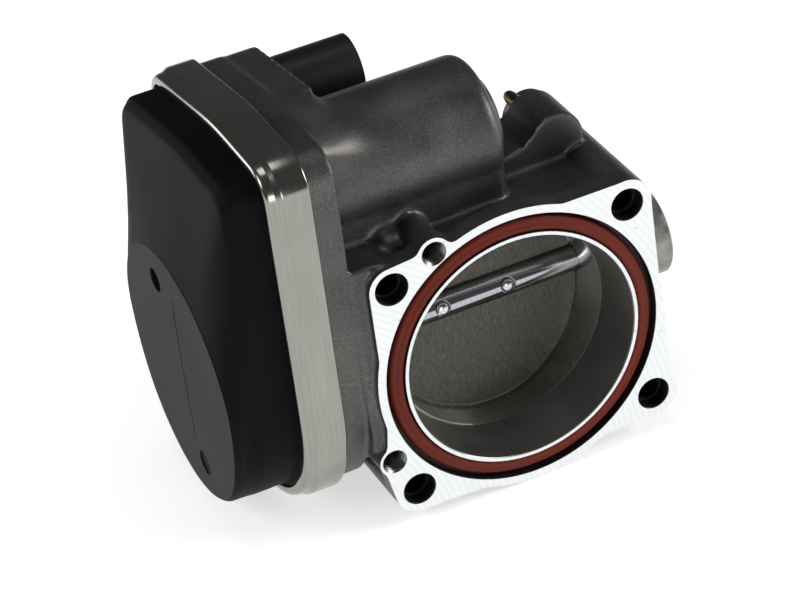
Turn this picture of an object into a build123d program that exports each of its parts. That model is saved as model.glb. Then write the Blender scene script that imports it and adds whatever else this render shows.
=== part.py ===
"""Electronic throttle body: cast housing, butterfly valve, gear train and motor.

Frame: the origin is on the bore axis in the manifold flange's face, -Y points out of
that face, +X runs along the throttle shaft away from the gear chamber, +Z is up.
"""

import os
from math import acos, atan2, cos, degrees, pi, radians, sin, sqrt, tan

from build123d import *

os.makedirs("parts", exist_ok=True)

# ---- driving dimensions, mm ----
# bore and flange
mouth_radius = 41.0
mouth_land = 8.0
throat_radius = 38.9
throat_start = 20.0
tube_radius = 46.0
tube_end = 92.0
socket_radius = 42.5
socket_depth = 11.0
flange_thickness = 8.0
ring_radius = 52.2
groove_inner = 42.6
groove_outer = 49.15
groove_depth = 3.6
bolt_circle_radius = 58.0
bolt_angles = [43.0, 137.0, 222.3, 321.0]
bolt_lobe_radii = [9.0, 7.8, 8.6, 9.0]
bolt_hole_radius = 4.5
dowel_radius = 5.6
dowel_depth = 5.0
bolt_boss_length = 73.0
tapped_radius = 3.5
tapped_mouth = 4.25
tapped_depth = 14.0
ear_places = [(-26.5, 47.0), (-50.1, -25.0)]
ear_radii = [5.7, 5.3]
ear_length = 17.0

# throttle valve
shaft_y = 40.0
shaft_radius = 5.0
plate_radius = 38.6
plate_thickness = 1.8
closed_angle = 5.0
rest_angle = 12.0
screw_spread = 12.2
shaft_end = 57.5
running_gap = 0.04

# gear chamber, seen along the shaft
round_centre = (53.0, -2.0)
round_radius = 50.5
chamber_front_top = (0.3, 93.8)
chamber_crown = (44.0, 95.3)
chamber_back_top = (103.5, 87.2)
chamber_corners = [13.0, 150.0, 12.0]
wall_inset = 5.2
back_of_chamber = -54.3
floor_face = -58.2
casting_edge = -63.8
rim_back = -64.9
rim_face = -70.5
cover_seat = -71.5
cover_step = -74.6
band_end = -78.5
band_thickness = 1.0
band_lip = 3.2
cover_face = -88.0
cover_shoulder = -91.4
drum_face = -100.5
cover_centre = (53.1, -0.5)
cover_radius = 45.3
cover_front_top = (5.4, 88.8)
cover_crown = (44.0, 90.3)
cover_back_top = (98.4, 82.4)
cover_wall = 2.6

# motor and gears
motor_axis = (40.0, 64.5)
boss_radius = 23.0
boss_end = 10.3
boss_cap_radius = 15.5
boss_cap_end = 13.6
can_radius = 19.9
can_end = 6.6
pinion_teeth = 12
idler_large_teeth = 46
idler_small_teeth = 16
sector_teeth = 60
gear_module = 1.0
backlash = 0.36

# pad beside the motor boss and its nipple
pad_place = (33.8, 52.4)
pad_radius = 9.8
pad_start = 30.0
pad_end = 50.0
nipple_place = (31.5, 56.0)
nipple_radius = 2.4

# idle-side bearing boss and connector
bearing_boss_radius = 16.0
bearing_boss_end = 69.5
bearing_seat_radius = 7.2
seal_inner_end = 41.8
cap_seat = 59.5
cap_radius = 10.0
connector_axis = (91.0, 68.5)
connector_radius = 11.5
connector_end = -11.0
block_end = -41.8
neck_radius = 7.2


def on_x(x, y=0.0, z=0.0):
    """Plane square to the shaft at x, centred on (y, z), drawing +Y right and +Z up."""
    return Plane(origin=(x, y, z), x_dir=(0, 1, 0), z_dir=(1, 0, 0))


def on_y(y, x=0.0, z=0.0):
    """Plane square to the bore at y, centred on (x, z), facing away from the manifold."""
    return Plane(origin=(x, y, z), x_dir=(-1, 0, 0), z_dir=(0, 1, 0))


def deck(height):
    """Place at this height over the gear chamber's floor, towards the cover."""
    return floor_face - height


def facing(y):
    """Plane of the flange's side of y: +X right, +Z up, extruding towards the manifold."""
    return Plane.XZ.offset(-y)


def save(piece, name):
    piece.part.label = name
    export_step(piece.part, f"parts/{name}.step")


def sleeve(start, end, outer, inner, axis):
    """A round sleeve or disc along X between two places."""
    with BuildPart() as piece:
        with BuildSketch(on_x(start, *axis)):
            Circle(outer)
            if inner:
                Circle(inner, mode=Mode.SUBTRACT)
        extrude(amount=end - start)
    return piece


def chamber_outline(x, inset):
    """The gear chamber's outline at x, moved inwards by inset: a D with a round bottom."""
    left = (round_centre[0] - round_radius, round_centre[1])
    right = (round_centre[0] + round_radius, round_centre[1])
    with BuildSketch(on_x(x)) as outline:
        with BuildLine():
            CenterArc(round_centre, round_radius, 180, 180)
            FilletPolyline(
                right,
                chamber_back_top,
                chamber_crown,
                chamber_front_top,
                left,
                radius=chamber_corners,
            )
        make_face()
        if inset:
            offset(amount=-inset, kind=Kind.ARC)
    return outline


def cover_outline(x, drop, draw_in):
    """The cover's raised part at x, its top lowered by drop and narrowed by draw_in."""
    left = (cover_centre[0] - cover_radius, cover_centre[1])
    right = (cover_centre[0] + cover_radius, cover_centre[1])
    with BuildSketch(on_x(x)) as outline:
        with BuildLine():
            CenterArc(cover_centre, cover_radius, 180, 180)
            FilletPolyline(
                right,
                (cover_back_top[0] - draw_in, cover_back_top[1] - drop),
                (cover_crown[0], cover_crown[1] - drop),
                (cover_front_top[0] + draw_in, cover_front_top[1] - drop),
                left,
                radius=[8.0, 145.0, 7.0],
            )
        make_face()
    return outline


def drum_outline():
    """The cover's round raised face, in one arc for each side of the cover's outline."""
    bounds = [180, 360, 402, 420, 447, 453, 492, 514, 540]
    with BuildSketch(on_x(drum_face)) as outline:
        with BuildLine():
            for start, end in zip(bounds, bounds[1:]):
                CenterArc(cover_centre, cover_radius, start, end - start)
        make_face()
    return outline


def bolt_place(index):
    angle = radians(bolt_angles[index])
    return (bolt_circle_radius * cos(angle), bolt_circle_radius * sin(angle))


def towards(a, b):
    """Angle in degrees from point a to point b."""
    return degrees(atan2(b[1] - a[1], b[0] - a[0]))


def gear_profile(teeth, first_angle, count=None):
    """Points of an involute gear, module gear_module, first tooth centred on first_angle."""
    pressure = radians(20)
    pitch = gear_module * teeth / 2
    base = pitch * cos(pressure)
    root = pitch - 1.3 * gear_module
    tip = pitch + 0.9 * gear_module
    inv = tan(pressure) - pressure

    def half_angle(radius):
        turn = acos(min(1.0, base / radius))
        return pi / (2 * teeth) - backlash / (2 * pitch) + inv - (tan(turn) - turn)

    flank = [root, max(base, root + 0.3), pitch, tip]
    points = []
    for tooth in range(count or teeth):
        centre = radians(first_angle) + 2 * pi * tooth / teeth
        for radius in flank:
            angle = centre - half_angle(radius)
            points.append((radius * cos(angle), radius * sin(angle)))
        for radius in reversed(flank):
            angle = centre + half_angle(radius)
            points.append((radius * cos(angle), radius * sin(angle)))
    return points


shaft_axis = (shaft_y, 0.0)
motor_span = sqrt((motor_axis[0] - shaft_y) ** 2 + motor_axis[1] ** 2)
sector_reach = gear_module * (sector_teeth + idler_small_teeth) / 2
pinion_reach = gear_module * (idler_large_teeth + pinion_teeth) / 2
along = (sector_reach**2 - pinion_reach**2 + motor_span**2) / (2 * motor_span)
aside = sqrt(sector_reach**2 - along**2)
idler_axis = (shaft_y + aside, along)

# ---- housing: one aluminium casting ----
with BuildPart() as housing:
    # gear chamber, its rim and the block that carries the connector
    extrude(chamber_outline(back_of_chamber, 2.3).sketch, amount=casting_edge - back_of_chamber)
    extrude(chamber_outline(casting_edge, 2.9).sketch, amount=rim_back - casting_edge)
    extrude(chamber_outline(rim_back, 1.2).sketch, amount=rim_face - rim_back)
    with BuildSketch(on_x(back_of_chamber - 1)) as block:
        with BuildLine():
            FilletPolyline(
                (32, 56),
                (101.5, 56),
                (101.5, 84.6),
                (44, 92.4),
                (32, 92.0),
                radius=[6, 11, 100],
            )
            Line((32, 92.0), (32, 56))
        make_face()
    extrude(amount=block_end - back_of_chamber + 1)

    # motor boss on its saddle, with a rounded end
    with BuildSketch(on_x(floor_face + 0.7, *motor_axis)):
        Circle(boss_radius)
        with Locations((0, -17)):
            Rectangle(2 * boss_radius - 2.6, 34)
    extrude(amount=boss_end - floor_face - 0.7)
    fillet(housing.faces().sort_by(Axis.X)[-1].edges(), radius=4.0)
    with BuildSketch(on_x(boss_end - 1, *motor_axis)):
        Circle(boss_cap_radius)
    extrude(amount=boss_cap_end - boss_end + 1)
    fillet(housing.faces().sort_by(Axis.X)[-1].edges(), radius=2.5)

    # bore tube, flange and the web that joins them to the chamber
    with BuildSketch(on_y(0)):
        Circle(tube_radius)
    extrude(amount=tube_end)
    with BuildSketch(facing(0)) as flange_outline:
        Circle(ring_radius)
        for index, radius in enumerate(bolt_lobe_radii):
            with Locations(bolt_place(index)):
                Circle(radius)
        with BuildLine():
            Polyline((0, 0), (19.5, 48.4), (42.4, 48.4), (51.2, 39.6), (51.4, 9), close=True)
        make_face()
        with BuildLine():
            Polyline(
                (0, 0),
                (-50.2, 14),
                (-50.2, 39.6),
                (-42.4, 47.35),
                (-33, 48.2),
                (-20, 48.2),
                close=True,
            )
        make_face()
        with BuildLine():
            Polyline(
                (0, 0),
                (-19, -48.4),
                (-42.9, -47.6),
                (-51.2, -41),
                (-53.4, -30),
                (-51, -12),
                close=True,
            )
        make_face()
        with BuildLine():
            Polyline(
                (0, 0),
                (52.2, -5),
                (52, -30),
                (53.9, -33),
                (45.1, -45.5),
                (27, -45.6),
                close=True,
            )
        make_face()
        for place, radius in zip(ear_places, ear_radii):
            with Locations(place):
                Circle(radius)
        offset(amount=3.0, kind=Kind.ARC)
        offset(amount=-3.0, kind=Kind.ARC)
    extrude(amount=-flange_thickness)
    with BuildSketch(on_x(back_of_chamber - 1)):
        with BuildLine():
            Polyline((3, 48), (3, -20), (20, -33), (70, -33), (70, 48), close=True)
        make_face()
    extrude(amount=13)
    # ledge behind the flange's top edge, and the pad beside the motor boss
    with BuildSketch(facing(1)):
        with BuildLine():
            Polyline((-30, 30), (-22, 45.5), (44, 45.5), (44, 20), close=True)
        make_face()
    extrude(amount=-pad_start)
    with BuildSketch(facing(pad_start)):
        with Locations(pad_place):
            Circle(pad_radius)
        with BuildLine():
            Polyline((5, 30), (5, 50), (21, 54), (26, 58), (34, 60), (44, 30), close=True)
        make_face()
    extrude(amount=pad_start - pad_end)

    # bolt bosses run the casting's depth, and the two ears have short ones
    for index, radius in enumerate(bolt_lobe_radii):
        with BuildSketch(facing(1)):
            with Locations(bolt_place(index)):
                Circle(radius)
        extrude(amount=1 - bolt_boss_length)
    for place, radius in zip(ear_places, ear_radii):
        with BuildSketch(facing(1)):
            with Locations(place):
                Circle(radius)
        extrude(amount=-ear_length)
    # ribs that tie the bosses to the bore tube
    for index in range(4):
        angle = bolt_angles[index]
        with BuildSketch(facing(flange_thickness - 1)):
            with Locations(Location((0, 0, 0), (0, 0, angle))):
                with Locations((49, 0)):
                    Rectangle(18, 11)
        extrude(amount=flange_thickness + 5 - bolt_boss_length)

    # idle-side bearing boss
    with BuildSketch(on_x(36, *shaft_axis)):
        Circle(bearing_boss_radius)
    extrude(amount=bearing_boss_end - 36)

    # hollows: bore with its tapered mouth, machined throat and duct socket
    with BuildSketch(Plane.XY):
        with BuildLine():
            Polyline(
                (0, -1),
                (mouth_radius, -1),
                (mouth_radius, mouth_land),
                (throat_radius + 0.4, throat_start),
                (throat_radius, throat_start),
                (throat_radius, tube_end - socket_depth),
                (socket_radius, tube_end - socket_depth),
                (socket_radius, tube_end + 1),
                (0, tube_end + 1),
                close=True,
            )
        make_face()
    revolve(axis=Axis.Y, mode=Mode.SUBTRACT)
    with BuildSketch(facing(-1)):
        Circle(groove_outer)
        Circle(groove_inner, mode=Mode.SUBTRACT)
    extrude(amount=-groove_depth - 1, mode=Mode.SUBTRACT)

    # bolt holes with dowel counterbores, and the tapped ears
    with Locations(*[facing(0) * Location(bolt_place(index)) for index in range(4)]):
        CounterBoreHole(bolt_hole_radius, dowel_radius, dowel_depth, depth=bolt_boss_length + 2)
    with Locations(*[facing(0) * Location(place) for place in ear_places]):
        CounterBoreHole(tapped_radius, tapped_mouth, 1.0, depth=tapped_depth)

    # gear chamber and motor cavity
    cavity = chamber_outline(floor_face, wall_inset).sketch
    extrude(cavity, amount=rim_face - floor_face - 1, mode=Mode.SUBTRACT)
    with BuildSketch(on_x(floor_face - 1, *motor_axis)):
        Circle(can_radius + 0.3)
    extrude(amount=can_end + 2.6 - floor_face, mode=Mode.SUBTRACT)
    for side in (30, 150):
        with BuildSketch(on_x(floor_face - 1, *motor_axis)):
            with PolarLocations(24.5, 1, start_angle=side):
                Circle(1.65)
        extrude(amount=6, mode=Mode.SUBTRACT)

    # shaft line: hub round the drive-side bearing, bearing seats and seal seats
    with BuildSketch(on_x(floor_face, *shaft_axis)):
        Circle(10.0)
    extrude(amount=-3.0)
    with BuildSketch(on_x(deck(4), *shaft_axis)):
        Circle(shaft_radius + 0.3)
    extrude(amount=4 - floor_face + 60, mode=Mode.SUBTRACT)
    with BuildSketch(on_x(deck(4), *shaft_axis)):
        Circle(bearing_seat_radius)
    extrude(amount=4 - floor_face - seal_inner_end, mode=Mode.SUBTRACT)
    with BuildSketch(on_x(seal_inner_end, *shaft_axis)):
        Circle(bearing_seat_radius)
    extrude(amount=cap_seat - seal_inner_end, mode=Mode.SUBTRACT)
    with BuildSketch(on_x(cap_seat, *shaft_axis)):
        Circle(cap_radius)
    extrude(amount=bearing_boss_end - cap_seat + 1, mode=Mode.SUBTRACT)

    # idler pin hole, connector hole with its O-ring seat, vent hole
    with BuildSketch(on_x(floor_face - 1, *idler_axis)):
        Circle(2.5)
    extrude(amount=9, mode=Mode.SUBTRACT)
    with BuildSketch(on_x(floor_face - 1, *connector_axis)):
        Circle(neck_radius + 0.1)
    extrude(amount=block_end - floor_face + 2, mode=Mode.SUBTRACT)
    with BuildSketch(facing(pad_end - 8)):
        with Locations(nipple_place):
            Circle(nipple_radius)
    extrude(amount=-9, mode=Mode.SUBTRACT)
save(housing, "housing")

# ---- seal ring in the flange's groove: a ribbed rubber profile ----
with BuildPart() as flange_seal:
    with BuildSketch(Plane.XY):
        with BuildLine():
            Polyline(
                (groove_inner + 0.5, groove_depth - 0.05),
                (groove_inner + 0.5, 1.2),
                (groove_inner + 1.5, 0.7),
                (groove_inner + 2.5, 1.1),
                (groove_inner + 3.2, 0.3),
                (groove_inner + 4.2, 1.1),
                (groove_inner + 5.1, 0.8),
                (groove_inner + 5.6, 1.3),
                (groove_inner + 5.6, groove_depth - 0.05),
                close=True,
            )
        make_face()
    revolve(axis=Axis.Y)
save(flange_seal, "flange_seal")

# ---- throttle valve: shaft, plate and its two screws ----
tilt = radians(rest_angle)
valve_plane = Plane(
    origin=(0, shaft_y, 0), x_dir=(1, 0, 0), z_dir=(0, -cos(tilt), sin(tilt))
)
with BuildPart() as throttle_shaft:
    with BuildSketch(on_x(deck(21.6), *shaft_axis)):
        Circle(shaft_radius)
    extrude(amount=21.6 - floor_face + shaft_end)
    with BuildSketch(valve_plane):
        Rectangle(2 * plate_radius + 0.4, 24)
    extrude(amount=plate_thickness / 2 + 0.05, both=True, mode=Mode.SUBTRACT)
    with BuildSketch(valve_plane.offset(shaft_radius - 0.9)):
        with GridLocations(2 * screw_spread, 0, 2, 1):
            Circle(2.8)
    extrude(amount=3, mode=Mode.SUBTRACT)
    with BuildSketch(valve_plane):
        with GridLocations(2 * screw_spread, 0, 2, 1):
            Circle(1.55)
    extrude(amount=shaft_radius + 1, both=True, mode=Mode.SUBTRACT)
    # flats that drive the throttle gear
    with BuildSketch(on_x(deck(22), *shaft_axis)):
        with GridLocations(0, 2 * shaft_radius - 0.8, 1, 2):
            Rectangle(12, 1.6)
    extrude(amount=14, mode=Mode.SUBTRACT)
save(throttle_shaft, "throttle_shaft")

with BuildPart() as throttle_plate:
    with BuildSketch(valve_plane):
        Ellipse(plate_radius, plate_radius / cos(radians(closed_angle)))
        with GridLocations(2 * screw_spread, 0, 2, 1):
            Circle(1.6, mode=Mode.SUBTRACT)
    extrude(amount=plate_thickness / 2, both=True)
save(throttle_plate, "throttle_plate")

with BuildPart() as plate_screws:
    with BuildSketch(valve_plane.offset(-shaft_radius + 0.3)):
        with GridLocations(2 * screw_spread, 0, 2, 1):
            Circle(1.5)
    extrude(amount=2 * shaft_radius - 1.0)
    with BuildSketch(valve_plane.offset(shaft_radius - 0.85)):
        with GridLocations(2 * screw_spread, 0, 2, 1):
            Circle(2.6)
    extrude(amount=1.5)
    fillet(plate_screws.faces().sort_by(Axis.Y)[0].edges(), radius=1.1)
    fillet(plate_screws.faces().sort_by(Axis.Y)[1].edges(), radius=1.1)
save(plate_screws, "plate_screws")

# ---- shaft bearings and seals ----
needle_radius = 0.75
needle_pitch = shaft_radius + needle_radius + running_gap
for name, start, end in (("drive_side", deck(2.6), deck(-6.4)), ("idle_side", 46.0, 55.0)):
    with BuildPart() as cup:
        with BuildSketch(on_x(start, *shaft_axis)):
            Circle(bearing_seat_radius)
            Circle(needle_pitch + needle_radius + 0.02, mode=Mode.SUBTRACT)
        extrude(amount=end - start)
        for lip in (start, end - 0.6):
            with BuildSketch(on_x(lip, *shaft_axis)):
                Circle(bearing_seat_radius - 0.2)
                Circle(shaft_radius + 0.3, mode=Mode.SUBTRACT)
            extrude(amount=0.6)
    save(cup, f"{name}_bearing_cup")
    with BuildPart() as needles:
        with BuildSketch(on_x(start + 0.8, *shaft_axis)):
            with PolarLocations(needle_pitch, 20):
                Circle(needle_radius - 0.01)
        extrude(amount=end - start - 1.6)
    save(needles, f"{name}_needles")
for name, start in (("drive_side", -45.0), ("idle_side", 42.2)):
    seal = sleeve(start, start + 2.8, bearing_seat_radius, shaft_radius + 0.06, shaft_axis)
    save(seal, f"{name}_shaft_seal")

# ---- press-in cap over the idle-side bearing: a shallow cup ----
with BuildPart() as bearing_cap:
    with BuildSketch(on_x(cap_seat + 2.5, *shaft_axis)):
        Circle(cap_radius)
    extrude(amount=6.0)
    fillet(bearing_cap.faces().sort_by(Axis.X)[-1].edges(), radius=0.8)
    with BuildSketch(on_x(cap_seat, *shaft_axis)):
        Circle(cap_radius - 1.2)
    extrude(amount=7.2, mode=Mode.SUBTRACT)
save(bearing_cap, "bearing_cap")

# ---- throttle gear: toothed sector on a hub, with its driver plate and retaining ring ----
mesh_angle = towards(shaft_axis, idler_axis)
hub_radius = 10.4
sector_first = -3
sector_count = 19
gear_start = deck(18.2)
gear_end = deck(10.0)
with BuildPart() as throttle_gear:
    with BuildSketch(on_x(gear_start, *shaft_axis)):
        Circle(19)
        with BuildLine():
            start_angle = mesh_angle + sector_first * 360 / sector_teeth
            rim = gear_profile(sector_teeth, start_angle, sector_count)
            Polyline((0, 0), *rim, close=True)
        make_face()
    extrude(amount=gear_end - gear_start)
    # weight-saving pocket in the sector's outer face leaves a web behind the teeth
    with BuildSketch(on_x(gear_start, *shaft_axis)):
        with BuildLine():
            mid_angle = mesh_angle + (sector_first + (sector_count - 1) / 2) * 360 / sector_teeth
            span = 78
            CenterArc((0, 0), 25.5, mid_angle - span / 2, span)
            CenterArc((0, 0), 13.5, mid_angle - span / 2, span)
            for angle in (mid_angle - span / 2, mid_angle + span / 2):
                Line(
                    (13.5 * cos(radians(angle)), 13.5 * sin(radians(angle))),
                    (25.5 * cos(radians(angle)), 25.5 * sin(radians(angle))),
                )
        make_face()
    extrude(amount=4.5, mode=Mode.SUBTRACT)
    with BuildSketch(on_x(deck(24), *shaft_axis)):
        Circle(hub_radius)
    extrude(amount=19.0)
    with BuildSketch(on_x(deck(25), *shaft_axis)):
        Circle(hub_radius - 2.9)
    extrude(amount=6.0, mode=Mode.SUBTRACT)
    with BuildSketch(on_x(deck(25), *shaft_axis)):
        Circle(shaft_radius + 0.02)
    extrude(amount=22, mode=Mode.SUBTRACT)
save(throttle_gear, "throttle_gear")

with BuildPart() as gear_driver:
    with BuildSketch(on_x(deck(19), *shaft_axis)):
        Circle(hub_radius - 3.1)
        Rectangle(2 * shaft_radius + 0.06, 2 * shaft_radius - 1.54, mode=Mode.SUBTRACT)
    extrude(amount=-1.8)
save(gear_driver, "gear_driver")

with BuildPart() as gear_retainer:
    with BuildSketch(on_x(deck(20.85), *shaft_axis)):
        Circle(hub_radius - 3.4)
        Circle(shaft_radius + 0.02, mode=Mode.SUBTRACT)
        with Locations((7, 0)):
            Rectangle(8, 2.4, mode=Mode.SUBTRACT)
    extrude(amount=-0.7)
save(gear_retainer, "gear_retainer")

# magnet ring at the hub's end, read by the position sensor
ring = sleeve(deck(26.4), deck(24.03), hub_radius - 0.3, hub_radius - 2.7, shaft_axis)
save(ring, "sensor_magnet")

# ---- return spring, its guide bush and the limp-home lever ----
spring_radius = 11.9
spring_wire = 0.6
spring_turns = 4
spring_pitch = 1.28
spring_start = deck(9.4)
with BuildPart() as return_spring:
    with BuildLine() as coil:
        Helix(
            pitch=spring_pitch,
            height=spring_pitch * spring_turns,
            radius=spring_radius,
            center=(spring_start, *shaft_axis),
            direction=(1, 0, 0),
        )
    with BuildSketch(Plane(origin=coil.edges()[0] @ 0, z_dir=coil.edges()[0] % 0)):
        Circle(spring_wire)
    sweep()
save(return_spring, "return_spring")

# ---- idler: compound gear on its pin ----
pin_radius = 2.5
small_first = mesh_angle + 180 + 180 / idler_small_teeth
large_first = towards(idler_axis, motor_axis)
with BuildPart() as idler_gear:
    with BuildSketch(on_x(deck(9.3), *idler_axis)):
        with BuildLine():
            Polyline(*gear_profile(idler_large_teeth, large_first), close=True)
        make_face()
    extrude(amount=5.6)
    with BuildSketch(on_x(deck(19), *idler_axis)):
        with BuildLine():
            Polyline(*gear_profile(idler_small_teeth, small_first), close=True)
        make_face()
    extrude(amount=9.8)
    with BuildSketch(on_x(deck(3.7), *idler_axis)):
        Circle(5.0)
    extrude(amount=2.6)
    for face in (deck(9.4), deck(5.5)):
        with BuildSketch(on_x(face, *idler_axis)):
            Circle(20.0)
            Circle(9.6, mode=Mode.SUBTRACT)
        extrude(amount=1.9, mode=Mode.SUBTRACT)
    with BuildSketch(on_x(deck(20), *idler_axis)):
        Circle(pin_radius + running_gap)
    extrude(amount=22, mode=Mode.SUBTRACT)
save(idler_gear, "idler_gear")

with BuildPart() as idler_pin:
    with BuildSketch(on_x(deck(21.4), *idler_axis)):
        Circle(pin_radius)
    extrude(amount=29.1)
    with BuildSketch(on_x(deck(20.6), *idler_axis)):
        Circle(pin_radius + 1)
        Circle(pin_radius - 0.5, mode=Mode.SUBTRACT)
    extrude(amount=0.9, mode=Mode.SUBTRACT)
save(idler_pin, "idler_pin")

with BuildPart() as idler_clip:
    with BuildSketch(on_x(deck(20.5), *idler_axis)):
        Circle(4.6)
        Circle(pin_radius - 0.45, mode=Mode.SUBTRACT)
        with Locations((-4, 0)):
            Rectangle(8, 2.6, mode=Mode.SUBTRACT)
    extrude(amount=0.7)
save(idler_clip, "idler_clip")

# ---- motor: can, magnets, end plate, rotor, brushes ----
with BuildPart() as motor_can:
    with BuildSketch(on_x(deck(-2), *motor_axis)):
        Circle(can_radius)
    extrude(amount=can_end - deck(-2))
    fillet(motor_can.faces().sort_by(Axis.X)[-1].edges(), radius=2.0)
    with BuildSketch(on_x(deck(-1), *motor_axis)):
        Circle(can_radius - 1.4)
    extrude(amount=can_end - deck(-1) - 4.5, mode=Mode.SUBTRACT)
    with BuildSketch(on_x(can_end - 6, *motor_axis)):
        Circle(3.2)
    extrude(amount=4.5, mode=Mode.SUBTRACT)
save(motor_can, "motor_can")

with BuildPart() as motor_magnets:
    with BuildSketch(on_x(-37, *motor_axis)):
        Circle(can_radius - 1.45)
        Circle(can_radius - 5.2, mode=Mode.SUBTRACT)
        Rectangle(60, 10, mode=Mode.SUBTRACT)
    extrude(amount=34)
save(motor_magnets, "motor_magnets")

ear_reach = 24.5
ear_out = ear_reach * cos(radians(30))
ear_up = ear_reach * sin(radians(30))
with BuildPart() as motor_end_plate:
    with BuildSketch(on_x(deck(2.0), *motor_axis)):
        Circle(can_radius + 0.1)
        with BuildLine():
            Polyline((0, 0), (ear_out + 2, ear_up - 4), (ear_out - 2, ear_up + 4), close=True)
        make_face()
        with BuildLine():
            Polyline((0, 0), (-ear_out - 2, ear_up - 4), (-ear_out + 2, ear_up + 4), close=True)
        make_face()
        with Locations((ear_out, ear_up), (-ear_out, ear_up)):
            Circle(4.2)
            Circle(2.2, mode=Mode.SUBTRACT)
        Circle(3.05, mode=Mode.SUBTRACT)
    extrude(amount=1.95)
    with BuildSketch(on_x(deck(0.1), *motor_axis)):
        Circle(can_radius - 1.5)
        Circle(3.05, mode=Mode.SUBTRACT)
    extrude(amount=6.0)
save(motor_end_plate, "motor_end_plate")

with BuildPart() as motor_screws:
    for angle in (30, 150):
        with BuildSketch(on_x(deck(2.05), *motor_axis)):
            with PolarLocations(ear_reach, 1, start_angle=angle):
                Circle(3.4)
                RegularPolygon(1.6, 6, mode=Mode.SUBTRACT)
        extrude(amount=-2.2)
        with BuildSketch(on_x(deck(2.1), *motor_axis)):
            with PolarLocations(ear_reach, 1, start_angle=angle):
                Circle(1.6)
        extrude(amount=6.5)
save(motor_screws, "motor_screws")

save(sleeve(deck(1.8), deck(-5), 3.0, 1.6 + running_gap, motor_axis), "motor_front_bush")
save(sleeve(can_end - 5.9, can_end - 1.6, 3.15, 1.6 + running_gap, motor_axis), "motor_rear_bush")
save(sleeve(deck(12), can_end - 1.9, 1.6, 0, motor_axis), "motor_shaft")

with BuildPart() as armature_core:
    with BuildSketch(on_x(-36, *motor_axis)):
        Circle(14.2)
        Circle(1.62, mode=Mode.SUBTRACT)
        with PolarLocations(9.6, 5):
            Rectangle(6.4, 6.4, mode=Mode.SUBTRACT)
        with PolarLocations(13.6, 5):
            Rectangle(3.0, 2.2, mode=Mode.SUBTRACT)
    extrude(amount=32)
save(armature_core, "armature_core")

with BuildPart() as armature_windings:
    with BuildSketch(on_x(-40, *motor_axis)):
        with PolarLocations(9.6, 5):
            Rectangle(6.2, 6.2)
    extrude(amount=40)
    for end in (-40.0, -3.4):
        with BuildSketch(on_x(end, *motor_axis)):
            Circle(13.2)
            Circle(6.4, mode=Mode.SUBTRACT)
        extrude(amount=3.4)
save(armature_windings, "armature_windings")

with BuildPart() as commutator:
    with BuildSketch(on_x(-51.0, *motor_axis)):
        Circle(6.0)
        Circle(1.62, mode=Mode.SUBTRACT)
        with PolarLocations(6.0, 10):
            Rectangle(1.6, 0.5, mode=Mode.SUBTRACT)
    extrude(amount=9.5)
save(commutator, "commutator")

with BuildPart() as motor_brushes:
    for side in (0, 180):
        with BuildSketch(on_x(-49.4, *motor_axis)):
            with PolarLocations(9.4, 1, start_angle=side):
                Rectangle(6.0, 4.4)
        extrude(amount=5.0)
save(motor_brushes, "motor_brushes")

with BuildPart() as motor_pinion:
    with BuildSketch(on_x(deck(11.4), *motor_axis)):
        with BuildLine():
            pinion_first = towards(motor_axis, idler_axis) + 180 / pinion_teeth
            Polyline(*gear_profile(pinion_teeth, pinion_first), close=True)
        make_face()
        Circle(1.61, mode=Mode.SUBTRACT)
    extrude(amount=8.4)
save(motor_pinion, "motor_pinion")

# wave washer that pushes the motor against its end plate
save(sleeve(can_end + 0.1, can_end + 1.0, 15.0, 10.5, motor_axis), "motor_spring_washer")

# ---- sensor board inside the cover's drum ----
board_face = deck(30)
with BuildPart() as sensor_board:
    with BuildSketch(on_x(board_face, *shaft_axis)):
        Circle(27)
        with Locations((28, 20)):
            Rectangle(20, 14)
        with GridLocations(36, 36, 2, 2):
            Circle(1.6, mode=Mode.SUBTRACT)
    extrude(amount=-1.6)
save(sensor_board, "sensor_board")

with BuildPart() as sensor_chips:
    with BuildSketch(on_x(board_face + 0.05, *shaft_axis)):
        Rectangle(7, 5)
        with Locations((-13, 6), (13, -6)):
            Rectangle(5, 4)
    extrude(amount=1.6)
save(sensor_chips, "sensor_chips")

# ---- connector: shell, pins, seal and inner carrier ----
with BuildPart() as connector_shell:
    with BuildSketch(on_x(block_end + 0.2, *connector_axis)):
        Circle(connector_radius)
    extrude(amount=connector_end - block_end - 0.2)
    with BuildSketch(on_x(-37.5, *connector_axis)):
        Circle(connector_radius - 1.9)
    extrude(amount=40, mode=Mode.SUBTRACT)
    with BuildSketch(on_x(deck(2), *connector_axis)):
        Circle(neck_radius)
    extrude(amount=block_end + 1.2 - deck(2))
    # keyways for the mating plug stand on the inner wall
    with BuildSketch(on_x(-37.6, *connector_axis)):
        with PolarLocations(connector_radius - 1.9, 3, start_angle=200, angular_range=140):
            Rectangle(2.4, 1.4)
    extrude(amount=22)
    with BuildSketch(on_x(-48.6, *connector_axis)):
        Circle(neck_radius + 1)
        Circle(neck_radius - 1.3, mode=Mode.SUBTRACT)
    extrude(amount=2.4, mode=Mode.SUBTRACT)
    with BuildSketch(on_x(deck(3), *connector_axis)):
        with GridLocations(4.4, 4.4, 3, 2):
            Circle(0.62)
    extrude(amount=27, mode=Mode.SUBTRACT)
save(connector_shell, "connector_shell")

with BuildPart() as connector_pins:
    with BuildSketch(on_x(deck(10.5), *connector_axis)):
        with GridLocations(4.4, 4.4, 3, 2):
            Circle(0.6)
    extrude(amount=-22.0 - deck(10.5))
save(connector_pins, "connector_pins")

ring = sleeve(-48.45, -46.35, neck_radius + 0.08, neck_radius - 1.28, connector_axis)
save(ring, "connector_seal")

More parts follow.
